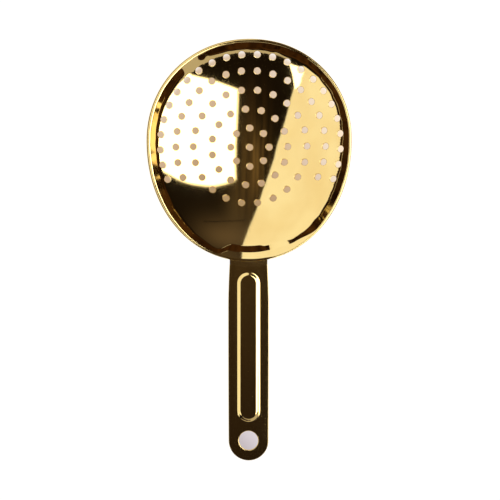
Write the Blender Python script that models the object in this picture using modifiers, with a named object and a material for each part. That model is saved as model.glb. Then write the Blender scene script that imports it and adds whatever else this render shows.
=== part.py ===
"""Julep strainer: a perforated, concave sheet-metal bowl with a turned-out rim,
and a flat strap handle with a pressed stiffening bead and a hanging hole.

Frame: metres, +Z up. The origin is the bottom centre of the bounding box: on the
centre line, halfway along the length, at the level of the bowl's lowest point.
The bowl opens towards +Z and the handle runs along -Y. The bowl, the handle strap
and the brazed filler between them are separate solids.

The functions below work in the bowl's own frame, in millimetres. Its origin is the
centre of the hole pattern, in the plane of the rim's front face. Front is +Z and
back is -Z. An empty carries all the objects from that frame to the one above.
"""

from contextlib import contextmanager
from math import asin, atan2, copysign, cos, hypot, pi, radians, sin, sqrt, tan

import bmesh
import bpy
from mathutils import Matrix, Vector

MM = 0.001

# ---- driving dimensions, in millimetres ------------------------------------
OVERALL_LENGTH = 160.0  # top of the rim to the end of the handle

# plan outline of the bowl: two half superellipses that share their widest line
RIM_HALF_WIDTH = 39.0
RIM_TOP_SEMI = 38.5  # from the widest line away from the handle
RIM_NECK_SEMI = 46.0  # from the widest line towards the handle
RIM_POWER = 2.06
WIDEST_LINE_Y = 1.6
RIM_SOLVE_STEPS = 20  # Newton steps for a point of the outline

# section through the sheet, front face
BOWL_SHEET = 1.0
FLANGE_WIDTH = 1.3  # flat part of the turned-out rim
CURL_RADIUS = 1.0  # convex bend between flange and wall
WALL_ANGLE = radians(44.0)  # from the rim plane
WALL_BAND = 5.0  # plan width of flange, wall and knuckle together
KNUCKLE_RADIUS = 4.5  # concave bend between wall and cap
CAP_RADIUS = 80.0  # spherical radius of the perforated cap
CAP_EDGE = RIM_HALF_WIDTH - WALL_BAND  # plan radius of the cap before it is made oval
BEND_STEPS = 3
CAP_RINGS = 6
BOWL_SEGMENTS = 60

# perforation
HOLE_DIAMETER = 2.6
HOLE_SEGMENTS = 10
HOLE_PUNCH_LENGTH = 5.0
NORMAL_STEP = 0.05  # half span of the differences that give the sheet's normal
# full rings: radius, count, angle of the first hole from +X (degrees)
FULL_RINGS = (
    (0.0, 1, 0.0),
    (7.5, 8, 90.0),
    (14.8, 15, 0.0),
    (22.0, 22, 90.0 - 360.0 / 44),
)
# part rings, open towards the handle: radius away from the handle, radius at the
# last hole, holes each side of the centre line, step (degrees)
PART_RINGS = ((29.0, 28.6, 10, 12.1), (34.8, 34.2, 12, 9.77))

# handle strap
STRAP_SHEET = 1.2
STRAP_NECK_WIDTH = 14.3
STRAP_MID_WIDTH = 15.4
STRAP_END_WIDTH = 15.1
STRAP_MID_Y = -62.0
STRAP_SIDE_STEPS = 10
STRAP_END_STEPS = 20

# strap section at the neck; distances inside the rim edge, negative outside it
TONGUE_GAP = 0.3  # between the tongue and the back of the bowl
TONGUE_DEPTH = 1.8  # how far the tongue runs down behind the bowl wall
ELBOW_CUT = 0.5  # from the tongue's corner to each end of its chamfer
JOGGLE_START = -2.2  # where the strap starts to step back
JOGGLE_END = -0.75
JOGGLE_DROP = BOWL_SHEET + TONGUE_GAP

# oversize sheet that the strap is trimmed from
BLANK_HALF_WIDTH = 9.5
BLANK_COLUMNS = 12
BLANK_FLAT_START = 2.5  # from the start of the joggle to the first straight row
BLANK_END_MARGIN = 2.0  # beyond the end of the strap
TRIM_NECK_MARGIN = 12.0  # trim outline beyond the neck, towards the bowl
TRIM_HALF_DEPTH = 12.0

# stiffening bead, raised on the front and hollow behind
BEAD_WIDTH = 8.8
BEAD_START_Y = -48.4
BEAD_END_Y = -105.4
BEAD_HEIGHT = 0.5
BEAD_FLANK = 1.75  # plan width of the bead's sloping side
BEAD_CORE_HALF_DEPTH = 0.05  # upright part of the form's edge, before scaling
BEAD_FLANK_STEPS = 1
BEAD_END_STEPS = 9
HOLLOW_MARGIN = 0.1  # hollow's outline outside the bead's flat top

# hanging hole, concentric with the rounded end of the strap
HANG_HOLE_DIAMETER = 7.7
HANG_HOLE_SEGMENTS = 32
HANG_PUNCH_LENGTH = 6.0

# brazed filler in the step between rim and strap
BRAZE_GAP = 0.1  # from the rim edge
BRAZE_HALF_LENGTH = 6.7
BRAZE_SHIFT = 0.35  # sloping side moved from the joggle line towards the rim
BRAZE_STEPS = 10

RIM_TOP_Y = WIDEST_LINE_Y + RIM_TOP_SEMI
NECK_Y = WIDEST_LINE_Y - RIM_NECK_SEMI
STRAP_END_Y = RIM_TOP_Y - OVERALL_LENGTH
HANG_HOLE_Y = STRAP_END_Y + STRAP_END_WIDTH / 2

SHARP_ANGLE = radians(35.0)  # edges bent more than this are shaded sharp


# ---- geometry ---------------------------------------------------------------
def rim_radius(angle):
    """Distance from the origin to the rim's outer edge, in the plan direction
    angle (radians from +X), by Newton's method on the superellipse."""
    cosine, sine = cos(angle), sin(angle)
    radius = RIM_HALF_WIDTH
    for _ in range(RIM_SOLVE_STEPS):
        x, y = radius * cosine, radius * sine - WIDEST_LINE_Y
        semi = RIM_TOP_SEMI if y >= 0 else RIM_NECK_SEMI
        across, along = abs(x) / RIM_HALF_WIDTH, abs(y) / semi
        value = across**RIM_POWER + along**RIM_POWER - 1
        power = RIM_POWER - 1
        slope = RIM_POWER * across**power * copysign(1, x) * cosine / RIM_HALF_WIDTH
        slope += RIM_POWER * along**power * copysign(1, y) * sine / semi
        radius -= value / slope
    return radius


def neck_edge_y(x):
    """Y of the rim's outer edge on the handle side, at x from the centre line."""
    share = 1 - (abs(x) / RIM_HALF_WIDTH) ** RIM_POWER
    return WIDEST_LINE_Y - RIM_NECK_SEMI * share ** (1 / RIM_POWER)


def bend(start, radius, angle_from, angle_to):
    """Section points of a bend from the point start, between two slopes. The
    radius is positive for a convex front face and negative for a concave one."""
    points = []
    for i in range(BEND_STEPS + 1):
        angle = angle_from + (angle_to - angle_from) * i / BEND_STEPS
        inwards = start[0] + radius * (sin(angle) - sin(angle_from))
        z = start[1] - radius * (cos(angle_from) - cos(angle))
        points.append((inwards, z))
    return points


def rim_section():
    """Section of the outer band's front face as (distance inwards from the rim
    edge, z), from the end of the flat flange to where the cap begins."""
    cap_slope = asin(CAP_EDGE / CAP_RADIUS)
    curl_run = CURL_RADIUS * sin(WALL_ANGLE)
    knuckle_run = KNUCKLE_RADIUS * (sin(WALL_ANGLE) - sin(cap_slope))
    wall_run = WALL_BAND - FLANGE_WIDTH - curl_run - knuckle_run

    curl = bend((FLANGE_WIDTH, 0.0), CURL_RADIUS, 0.0, WALL_ANGLE)
    inwards, z = curl[-1]
    wall_foot = (inwards + wall_run, z - wall_run * tan(WALL_ANGLE))
    return curl + bend(wall_foot, -KNUCKLE_RADIUS, WALL_ANGLE, cap_slope)


def cap_rise(radius):
    """Height of the cap's sphere above its lowest point."""
    return CAP_RADIUS - sqrt(CAP_RADIUS**2 - radius**2)


def cap_z(share):
    """Z of the cap's front face at share (0 to 1) of the way to its edge."""
    edge_z = rim_section()[-1][1]
    return edge_z - cap_rise(CAP_EDGE) + cap_rise(share * CAP_EDGE)


def front_point(x, y):
    """Point of the cap's front face at the plan point (x, y)."""
    edge = rim_radius(atan2(y, x)) - WALL_BAND
    return Vector((x, y, cap_z(hypot(x, y) / edge)))


def front_normal(x, y):
    along_x = front_point(x + NORMAL_STEP, y) - front_point(x - NORMAL_STEP, y)
    along_y = front_point(x, y + NORMAL_STEP) - front_point(x, y - NORMAL_STEP)
    return along_x.cross(along_y).normalized()


def hole_centres():
    """Plan centres of the perforation."""
    centres = []
    for radius, count, first in FULL_RINGS:
        for i in range(count):
            angle = radians(first + 360.0 * i / count)
            centres.append((radius * cos(angle), radius * sin(angle)))
    for far, near, half_count, step in PART_RINGS:
        last = step * (half_count - 0.5)
        for side in (-1, 1):
            for i in range(half_count):
                turn = step * (i + 0.5)  # from +Y
                radius = far + (near - far) * (turn / last) ** 2
                x = side * radius * sin(radians(turn))
                centres.append((x, radius * cos(radians(turn))))
    return centres


def stadium(top, bottom, radius):
    """Oblong outline along Y, with round ends of the given radius."""
    points = []
    for start, centre_y in ((0.0, top - radius), (pi, bottom + radius)):
        for i in range(BEAD_END_STEPS + 1):
            angle = start + pi * i / BEAD_END_STEPS
            points.append((radius * cos(angle), centre_y + radius * sin(angle)))
    return points


def strap_half_width(y):
    """Half width of the strap at y: a slight swell between neck and end."""
    if y > STRAP_MID_Y:
        share = (NECK_Y - y) / (NECK_Y - STRAP_MID_Y)
        share = min(max(share, 0.0), 1.0)
        swell = (STRAP_MID_WIDTH - STRAP_NECK_WIDTH) * sin(share * pi / 2)
        return (STRAP_NECK_WIDTH + swell) / 2
    share = (STRAP_MID_Y - y) / (STRAP_MID_Y - HANG_HOLE_Y)
    share = min(max(share, 0.0), 1.0)
    return (STRAP_MID_WIDTH + (STRAP_END_WIDTH - STRAP_MID_WIDTH) * share * share) / 2


def strap_plan():
    """Plan outline of the strap: tapered sides and a round end."""
    top = NECK_Y + TRIM_NECK_MARGIN
    right = []
    for i in range(STRAP_SIDE_STEPS + 1):
        y = top + (HANG_HOLE_Y - top) * i / STRAP_SIDE_STEPS
        right.append((strap_half_width(y), y))
    radius = STRAP_END_WIDTH / 2
    end = []
    for i in range(1, STRAP_END_STEPS):
        angle = pi * i / STRAP_END_STEPS
        end.append((radius * cos(angle), HANG_HOLE_Y - radius * sin(angle)))
    return right + end + [(-x, y) for x, y in reversed(right)]


def strap_path():
    """Middle of the strap's thickness, as (distance inside the rim edge, z),
    from the tongue's tip out to the flat handle. The tongue lies behind the
    flange and then behind the straight part of the wall."""
    half = STRAP_SHEET / 2
    back = JOGGLE_DROP + half
    # top of the straight wall, moved square to it to the strap's middle
    inside = FLANGE_WIDTH + CURL_RADIUS * sin(WALL_ANGLE) - back * sin(WALL_ANGLE)
    z = -CURL_RADIUS * (1 - cos(WALL_ANGLE)) - back * cos(WALL_ANGLE)
    corner = inside + (z + back) / tan(WALL_ANGLE)
    return [
        (corner + TONGUE_DEPTH / tan(WALL_ANGLE), -back - TONGUE_DEPTH),
        (corner + ELBOW_CUT * cos(WALL_ANGLE), -back - ELBOW_CUT * sin(WALL_ANGLE)),
        (corner - ELBOW_CUT, -back),
        (JOGGLE_END, -back),
        (JOGGLE_START, -half),
    ]


# ---- building helpers -------------------------------------------------------
def clear_scene():
    for blocks in (bpy.data.objects, bpy.data.meshes, bpy.data.curves):
        for block in list(blocks):
            blocks.remove(block, do_unlink=True)


def make_collection(name):
    collection = bpy.data.collections.get(name) or bpy.data.collections.new(name)
    children = bpy.context.scene.collection.children
    if name not in children:
        children.link(collection)
    return collection


def make_material(name, colour, roughness):
    """Polished metal."""
    material = bpy.data.materials.get(name) or bpy.data.materials.new(name)
    material.use_nodes = True
    shader = material.node_tree.nodes["Principled BSDF"]
    shader.inputs["Base Color"].default_value = (*colour, 1.0)
    shader.inputs["Roughness"].default_value = roughness
    shader.inputs["Metallic"].default_value = 1.0
    material.diffuse_color = (*colour, 1.0)
    return material


def add_object(name, data, collection):
    ob = bpy.data.objects.new(name, data)
    collection.objects.link(ob)
    return ob


def as_cutter(ob):
    ob.hide_render = True
    ob.display_type = "WIRE"
    return ob


@contextmanager
def edit_mesh(mesh):
    """Opens a mesh as a bmesh and writes it back at the end."""
    bm = bmesh.new()
    bm.from_mesh(mesh)
    yield bm
    bm.to_mesh(mesh)
    bm.free()


def evaluated_mesh(ob):
    """The object's mesh with its modifiers applied, welded."""
    bpy.context.view_layer.update()
    graph = bpy.context.evaluated_depsgraph_get()
    mesh = bpy.data.meshes.new_from_object(ob.evaluated_get(graph), depsgraph=graph)
    with edit_mesh(mesh) as bm:
        bmesh.ops.remove_doubles(bm, verts=bm.verts, dist=0.002 * MM)
        bmesh.ops.recalc_face_normals(bm, faces=bm.faces)
    return mesh


def bake_to_mesh(ob, name, collection):
    """Replaces a curve or modified object by a plain mesh object."""
    mesh = evaluated_mesh(ob)
    mesh.name = name
    place = ob.matrix_world.copy()
    bpy.data.objects.remove(ob, do_unlink=True)
    baked = add_object(name, mesh, collection)
    baked.matrix_world = place
    return baked


def boolean(ob, cutter, operation):
    mod = ob.modifiers.new(operation.lower() + "_" + cutter.name, "BOOLEAN")
    mod.operation = operation
    mod.object = cutter
    mod.solver = "EXACT"


def solidify(ob, thickness, offset):
    mod = ob.modifiers.new("sheet", "SOLIDIFY")
    mod.thickness = thickness * MM
    mod.offset = offset
    mod.use_even_offset = True
    mod.use_quality_normals = True


def face_up(mesh):
    """Turns an open sheet so that its faces point towards +Z."""
    with edit_mesh(mesh) as bm:
        bmesh.ops.recalc_face_normals(bm, faces=bm.faces)
        if sum(f.normal.z * f.calc_area() for f in bm.faces) < 0:
            bmesh.ops.reverse_faces(bm, faces=bm.faces)


def flat_outline(name, points, collection, half_depth, bevel=0.0, bevel_steps=0):
    """Filled 2D outline, extruded by half_depth to each side."""
    curve = bpy.data.curves.new(name, "CURVE")
    curve.dimensions = "2D"
    curve.fill_mode = "BOTH"
    curve.extrude = half_depth * MM
    curve.bevel_depth = bevel * MM
    curve.bevel_resolution = bevel_steps
    spline = curve.splines.new("POLY")
    spline.points.add(len(points) - 1)
    for point, (x, y) in zip(spline.points, points):
        point.co = (x * MM, y * MM, 0.0, 1.0)
    spline.use_cyclic_u = True
    return add_object(name, curve, collection)


def add_cylinder(bm, diameter, length, segments, centre, turn):
    bmesh.ops.create_cone(
        bm,
        cap_ends=True,
        segments=segments,
        radius1=diameter / 2 * MM,
        radius2=diameter / 2 * MM,
        depth=length * MM,
        matrix=Matrix.Translation(centre * MM) @ turn,
    )


def finish(ob, material):
    ob.data.materials.append(material)
    ob.data.shade_smooth()
    ob.data.set_sharp_from_angle(angle=SHARP_ANGLE)


# ---- bowl -------------------------------------------------------------------
def turned_dish(parts):
    """Round, open sheet turned from the bowl's section."""
    profile = [(RIM_HALF_WIDTH, 0.0)]
    profile += [(RIM_HALF_WIDTH - inwards, z) for inwards, z in rim_section()]
    for i in reversed(range(CAP_RINGS)):
        share = i / CAP_RINGS
        profile.append((share * CAP_EDGE, cap_z(share)))

    mesh = bpy.data.meshes.new("bowl_profile")
    with edit_mesh(mesh) as bm:
        verts = [bm.verts.new((x * MM, 0.0, z * MM)) for x, z in profile]
        for pair in zip(verts, verts[1:]):
            bm.edges.new(pair)
    blank = add_object("bowl_blank", mesh, parts)
    screw = blank.modifiers.new("turn", "SCREW")
    screw.axis = "Z"
    screw.angle = 2 * pi
    screw.steps = BOWL_SEGMENTS
    screw.render_steps = BOWL_SEGMENTS
    screw.use_merge_vertices = True
    screw.merge_threshold = 0.01 * MM
    return bake_to_mesh(blank, "strainer_bowl", parts)


def make_oval(mesh):
    """Fits the round dish to the oval plan: the rim band keeps its width, and
    the cap is stretched to fit."""
    for vert in mesh.vertices:
        x, y = vert.co.x / MM, vert.co.y / MM
        radius = hypot(x, y)
        if radius < 1e-6:
            continue
        angle = atan2(y, x)
        edge = rim_radius(angle)
        if radius <= CAP_EDGE:
            fitted = radius / CAP_EDGE * (edge - WALL_BAND)
        else:
            fitted = edge - (RIM_HALF_WIDTH - radius)
        vert.co.x = fitted * cos(angle) * MM
        vert.co.y = fitted * sin(angle) * MM


def hole_punches(cutters):
    """One punch for each hole, square to the sheet."""
    mesh = bpy.data.meshes.new("punches")
    with edit_mesh(mesh) as bm:
        for x, y in hole_centres():
            normal = front_normal(x, y)
            turn = Vector((0, 0, 1)).rotation_difference(normal).to_matrix().to_4x4()
            centre = front_point(x, y) - normal * (BOWL_SHEET / 2)
            add_cylinder(bm, HOLE_DIAMETER, HOLE_PUNCH_LENGTH, HOLE_SEGMENTS, centre, turn)
    return as_cutter(add_object("punches", mesh, cutters))


def build_bowl(parts, cutters, material):
    """Turned dish, shaped to the oval plan, thickened and perforated."""
    bowl = turned_dish(parts)
    make_oval(bowl.data)
    face_up(bowl.data)
    solidify(bowl, BOWL_SHEET, offset=-1.0)
    boolean(bowl, hole_punches(cutters), "DIFFERENCE")
    finish(bowl, material)
    return bowl


# ---- handle strap -----------------------------------------------------------
def strap_blank(parts):
    """Oversize strap, bent to the neck section; its neck rows follow the rim."""
    rows = [(True, inside, z) for inside, z in strap_path()]
    for y in (NECK_Y + JOGGLE_START - BLANK_FLAT_START, STRAP_END_Y - BLANK_END_MARGIN):
        rows.append((False, y, -STRAP_SHEET / 2))
    spans = len(rows) - 1

    mesh = bpy.data.meshes.new("strap_sheet")
    with edit_mesh(mesh) as bm:
        bmesh.ops.create_grid(bm, x_segments=BLANK_COLUMNS, y_segments=spans, size=1.0)
        for vert in bm.verts:
            column = round((vert.co.x + 1) / 2 * BLANK_COLUMNS)
            follows_rim, y, z = rows[round((vert.co.y + 1) / 2 * spans)]
            x = -BLANK_HALF_WIDTH + 2 * BLANK_HALF_WIDTH * column / BLANK_COLUMNS
            if follows_rim:
                y = neck_edge_y(x) + y
            vert.co = Vector((x, y, z)) * MM
    blank = add_object("strap_blank", mesh, parts)
    face_up(mesh)
    solidify(blank, STRAP_SHEET, offset=0.0)
    return bake_to_mesh(blank, "handle_strap", parts)


def strap_trim(cutters):
    trim = flat_outline("strap_outline", strap_plan(), cutters, TRIM_HALF_DEPTH)
    return as_cutter(bake_to_mesh(trim, "strap_outline", cutters))


def bead_form(cutters):
    """Raised oblong; its bevelled edge, flattened in Z, makes the flanks."""
    form = flat_outline(
        "bead_form",
        stadium(
            BEAD_START_Y - BEAD_FLANK, BEAD_END_Y + BEAD_FLANK, BEAD_WIDTH / 2 - BEAD_FLANK
        ),
        cutters,
        BEAD_CORE_HALF_DEPTH,
        bevel=BEAD_FLANK,
        bevel_steps=BEAD_FLANK_STEPS,
    )
    form.scale = (1.0, 1.0, BEAD_HEIGHT / (BEAD_FLANK + BEAD_CORE_HALF_DEPTH))
    return as_cutter(bake_to_mesh(form, "bead_form", cutters))


def bead_hollow(cutters):
    """Oblong pocket in the strap's back, as deep as the bead is high."""
    radius = BEAD_WIDTH / 2 - BEAD_FLANK + HOLLOW_MARGIN
    inset = BEAD_WIDTH / 2 - radius
    half_depth = (STRAP_SHEET + BEAD_HEIGHT) / 2
    outline = stadium(BEAD_START_Y - inset, BEAD_END_Y + inset, radius)
    hollow = flat_outline("bead_hollow", outline, cutters, half_depth)
    hollow.location.z = (BEAD_HEIGHT - STRAP_SHEET - half_depth) * MM
    return as_cutter(bake_to_mesh(hollow, "bead_hollow", cutters))


def hang_hole_punch(cutters):
    mesh = bpy.data.meshes.new("hang_hole_punch")
    centre = Vector((0.0, HANG_HOLE_Y, 0.0))
    with edit_mesh(mesh) as bm:
        add_cylinder(
            bm, HANG_HOLE_DIAMETER, HANG_PUNCH_LENGTH, HANG_HOLE_SEGMENTS, centre, Matrix()
        )
    return as_cutter(add_object("hang_hole_punch", mesh, cutters))


def build_strap(parts, cutters, material):
    """Sheet strap: flat handle, a step back at the neck, and a tongue that
    follows the back of the rim and wall."""
    strap = strap_blank(parts)
    boolean(strap, strap_trim(cutters), "INTERSECT")
    boolean(strap, bead_form(cutters), "UNION")
    boolean(strap, bead_hollow(cutters), "DIFFERENCE")
    boolean(strap, hang_hole_punch(cutters), "DIFFERENCE")
    finish(strap, material)


# ---- brazed filler ----------------------------------------------------------
def braze_section(cutters):
    """Section of the filler: upright beside the rim, sloping beside the strap."""
    slope = (JOGGLE_START - JOGGLE_END) / JOGGLE_DROP
    bottom = -BOWL_SHEET
    bottom_reach = JOGGLE_END + slope * (JOGGLE_DROP + bottom) + BRAZE_SHIFT
    section = [
        (BRAZE_GAP, 0.0),
        (BRAZE_GAP, bottom),
        (-bottom_reach, bottom),
        (-(JOGGLE_START + BRAZE_SHIFT), 0.0),
    ]
    return as_cutter(flat_outline("braze_section", section, cutters, 0.0))


def build_braze(parts, cutters, material):
    """Filler run in the step between the rim edge and the strap, flush with
    both front faces. Its section is swept along the rim edge."""
    path = bpy.data.curves.new("braze_run", "CURVE")
    path.dimensions = "3D"
    path.twist_mode = "Z_UP"
    path.bevel_mode = "OBJECT"
    path.bevel_object = braze_section(cutters)
    path.use_fill_caps = True
    spline = path.splines.new("POLY")
    spline.points.add(BRAZE_STEPS)
    for i, point in enumerate(spline.points):
        x = -BRAZE_HALF_LENGTH + 2 * BRAZE_HALF_LENGTH * i / BRAZE_STEPS
        point.co = (x * MM, neck_edge_y(x) * MM, 0.0, 1.0)
    run = add_object("braze_run", path, parts)
    finish(bake_to_mesh(run, "braze_fillet", parts), material)


# ---- assembly ---------------------------------------------------------------
def add_frame(bowl, parts, cutters):
    """Parents everything to an empty that sets the origin at mid length, level
    with the bowl's lowest point."""
    solid = evaluated_mesh(bowl)
    lowest_z = min(vert.co.z for vert in solid.vertices)
    bpy.data.meshes.remove(solid)
    middle_y = (RIM_TOP_Y + STRAP_END_Y) / 2
    frame = bpy.data.objects.new("strainer_frame", None)
    frame.location = (0.0, -middle_y * MM, -lowest_z)
    for ob in list(parts.objects) + list(cutters.objects):
        ob.parent = frame
    parts.objects.link(frame)


def main():
    clear_scene()
    parts = make_collection("julep_strainer")
    cutters = make_collection("julep_strainer_cutters")
    gold = make_material("gold_plate", colour=(0.93, 0.72, 0.36), roughness=0.06)
    gold_strap = make_material("gold_plate_strap", colour=(0.93, 0.72, 0.36), roughness=0.08)
    gold_braze = make_material("gold_plate_braze", colour=(0.90, 0.69, 0.34), roughness=0.14)
    bowl = build_bowl(parts, cutters, gold)
    build_strap(parts, cutters, gold_strap)
    build_braze(parts, cutters, gold_braze)
    add_frame(bowl, parts, cutters)


main()
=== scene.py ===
"""Looks for the julep strainer: fine polished sheet-metal surfaces built around the
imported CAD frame, a studio made of soft light cards, and a pale floor.

The shapes are worked out in the bowl's own frame, in millimetres: the origin is the
centre of the hole pattern in the plane of the rim's front face, the bowl opens
towards +Z and the handle runs along -Y. They are then moved into the row frame with
the CAD boxes.
"""

from math import ceil, cos, pi, radians, sin, sqrt
from types import SimpleNamespace

import bmesh
import bpy
import numpy as np
from mathutils import Matrix, Vector
from mathutils.geometry import delaunay_2d_cdt


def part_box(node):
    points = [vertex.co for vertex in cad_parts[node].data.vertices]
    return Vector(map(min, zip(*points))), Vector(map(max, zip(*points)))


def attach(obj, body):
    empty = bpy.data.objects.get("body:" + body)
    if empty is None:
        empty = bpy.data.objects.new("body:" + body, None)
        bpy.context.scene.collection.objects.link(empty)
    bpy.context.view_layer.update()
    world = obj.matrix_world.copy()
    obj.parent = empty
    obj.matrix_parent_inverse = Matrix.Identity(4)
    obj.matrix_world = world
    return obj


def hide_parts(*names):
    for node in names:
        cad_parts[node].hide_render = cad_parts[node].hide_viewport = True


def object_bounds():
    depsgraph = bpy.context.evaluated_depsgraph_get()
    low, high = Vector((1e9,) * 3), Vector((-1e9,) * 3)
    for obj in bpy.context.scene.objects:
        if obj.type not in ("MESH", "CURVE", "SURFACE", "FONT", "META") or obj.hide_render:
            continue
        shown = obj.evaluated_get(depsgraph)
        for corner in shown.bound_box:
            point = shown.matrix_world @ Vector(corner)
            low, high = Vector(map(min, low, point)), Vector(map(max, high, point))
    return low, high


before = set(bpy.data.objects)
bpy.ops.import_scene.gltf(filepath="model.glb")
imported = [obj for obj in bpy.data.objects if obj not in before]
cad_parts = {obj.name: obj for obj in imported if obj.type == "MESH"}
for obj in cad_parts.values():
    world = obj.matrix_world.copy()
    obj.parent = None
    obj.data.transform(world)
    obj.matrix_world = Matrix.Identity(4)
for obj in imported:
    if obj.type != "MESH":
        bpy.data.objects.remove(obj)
CAD_LO, CAD_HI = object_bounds()
BOWL_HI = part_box("strainer_bowl")[1]

MM = 0.001
UP = np.array([0.0, 0.0, 1.0])
ACROSS = np.array([1.0, 0.0, 0.0])

# ---- dimensions, in millimetres ---------------------------------------------
OVERALL_LENGTH = 160.0
RIM_HALF_WIDTH = 39.0
RIM_TOP_SEMI = 38.5  # from the widest line towards +Y
RIM_NECK_SEMI = 46.0  # from the widest line towards the handle
RIM_POWER = 2.06
WIDEST_LINE_Y = 1.6
RIM_TOP_Y = WIDEST_LINE_Y + RIM_TOP_SEMI

SHEET = 0.95
CAP_RADIUS = 80.0
CAP_BAND = 5.4  # where the cap's own edge would be, measured in from the rim
CAP_EDGE_Z = -2.95
CAP_TILT = 0.0075  # the cap drops by this share of y, away from the handle
CURL = 1.0  # radius of the band's bends

HOLE_RADIUS = 1.29
HOLE_ROUND = 0.15
HOLE_BACK_ROUND = 0.10
HOLE_OUTER = HOLE_ROUND + HOLE_RADIUS
HOLE_POINTS = 28
# full rings: radius, count, angle of the first hole from +X, two sideways shifts
FULL_RINGS = (
    (0.0, 1, 0.0, 0.0, 0.0),
    (7.5, 8, 90.0, 0.1, 0.0),
    (14.8, 15, 0.0, 0.0, 0.0),
    (22.0, 22, 90.0 - 360.0 / 44, 0.03, 0.35),
)
# part rings, open towards the handle: radius away from the handle, radius at the
# last hole, holes each side of the centre line, step, two sideways shifts
PART_RINGS = ((29.0, 28.6, 10, 12.1, 0.08, 0.42), (34.8, 34.2, 12, 9.77, 0.25, 0.18))
SPREAD_REACH = 30.0  # x at which the second sideways shift is reached

STRAP_SHEET = 1.2
STRAP_NECK_WIDTH = 14.3
STRAP_MID_WIDTH = 15.4
STRAP_END_WIDTH = 15.1
STRAP_MID_Y = -62.0
STRAP_END_Y = RIM_TOP_Y - OVERALL_LENGTH
STRAP_ROUND = 0.17
STRAP_BACK_ROUND = 0.16
NECK_HALF = STRAP_NECK_WIDTH / 2
NECK_COLUMNS = 36  # columns across strap top, tongue and filler
HANG_HOLE_Y = STRAP_END_Y + STRAP_END_WIDTH / 2
HANG_HOLE_RADIUS = 3.62
HANG_HOLE_ROUND = 0.24
HANG_HOLE_POINTS = 56
TONGUE_GAP = 0.3
BEAD_WIDTH = 8.8
BEAD_HALF = BEAD_WIDTH / 2
BEAD_START_Y = -48.4
BEAD_END_Y = -105.4
BEAD_HEIGHT = 0.41
BEAD_FLANK = 1.52
# centres of the bead's round ends
BEAD_HIGH_Y = BEAD_START_Y - BEAD_HALF
BEAD_LOW_Y = BEAD_END_Y + BEAD_HALF
BRAZE_START = 0.03  # distance outside the rim edge
BRAZE_END = 1.9

ORIGIN = Vector((0.0, BOWL_HI.y - RIM_TOP_Y * MM, BOWL_HI.z))


# ---- plan outline -------------------------------------------------------------
def rim_radius(angle):
    """Distance from the origin to the rim's outer edge, for an array of plan
    directions in radians from +X. Newton steps on the oval's equation."""
    cosine, sine = np.cos(angle), np.sin(angle)
    radius = np.full(np.shape(angle), RIM_HALF_WIDTH)
    power = RIM_POWER
    for _ in range(25):
        x, y = radius * cosine, radius * sine - WIDEST_LINE_Y
        semi = np.where(y >= 0, RIM_TOP_SEMI, RIM_NECK_SEMI)
        across, along = np.abs(x) / RIM_HALF_WIDTH, np.abs(y) / semi
        value = across**power + along**power - 1
        slope = power * across ** (power - 1) * np.sign(x) * cosine / RIM_HALF_WIDTH
        slope += power * along ** (power - 1) * np.sign(y) * sine / semi
        radius = radius - value / slope
    return radius


def neck_edge_y(x):
    share = 1 - (np.abs(x) / RIM_HALF_WIDTH) ** RIM_POWER
    return WIDEST_LINE_Y - RIM_NECK_SEMI * share ** (1 / RIM_POWER)


TABLE_ANGLE = np.linspace(-pi, pi, 5761)
TABLE_RADIUS = rim_radius(TABLE_ANGLE)


def outline(angle):
    return np.interp(angle, TABLE_ANGLE, TABLE_RADIUS)


# ---- cap ------------------------------------------------------------------------
CAP_EDGE = RIM_HALF_WIDTH - CAP_BAND
CAP_RISE = CAP_RADIUS - sqrt(CAP_RADIUS**2 - CAP_EDGE**2)


def cap_z(x, y):
    """Front face of the cap: a sphere cap stretched to the oval plan."""
    share = np.hypot(x, y) / (outline(np.arctan2(y, x)) - CAP_BAND)
    inner = CAP_RADIUS**2 - (share * CAP_EDGE) ** 2
    return CAP_EDGE_Z - CAP_TILT * y - CAP_RISE + CAP_RADIUS - np.sqrt(np.maximum(inner, 1.0))


def surface_normal(height, x, y, probe):
    """Unit normal of the surface z = height(x, y), by differences over +-probe."""
    slope_x = (height(x + probe, y) - height(x - probe, y)) / (2 * probe)
    slope_y = (height(x, y + probe) - height(x, y - probe)) / (2 * probe)
    normal = np.stack([-slope_x, -slope_y, np.ones_like(slope_x)], -1)
    return normal / np.linalg.norm(normal, axis=-1, keepdims=True)


def hole_centres():
    centres = []

    def put(x, y, shift, spread):
        centres.append((x + shift + spread * (x / SPREAD_REACH) ** 2, y))

    for radius, count, first, shift, spread in FULL_RINGS:
        for i in range(count):
            angle = radians(first + 360.0 * i / count)
            put(radius * cos(angle), radius * sin(angle), shift, spread)
    for far, near, half, step, shift, spread in PART_RINGS:
        last = step * (half - 0.5)
        for side in (-1, 1):
            for i in range(half):
                turn = step * (i + 0.5)
                radius = far + (near - far) * (turn / last) ** 2
                put(side * radius * sin(radians(turn)), radius * cos(radians(turn)), shift, spread)
    return np.array(centres)


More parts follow.
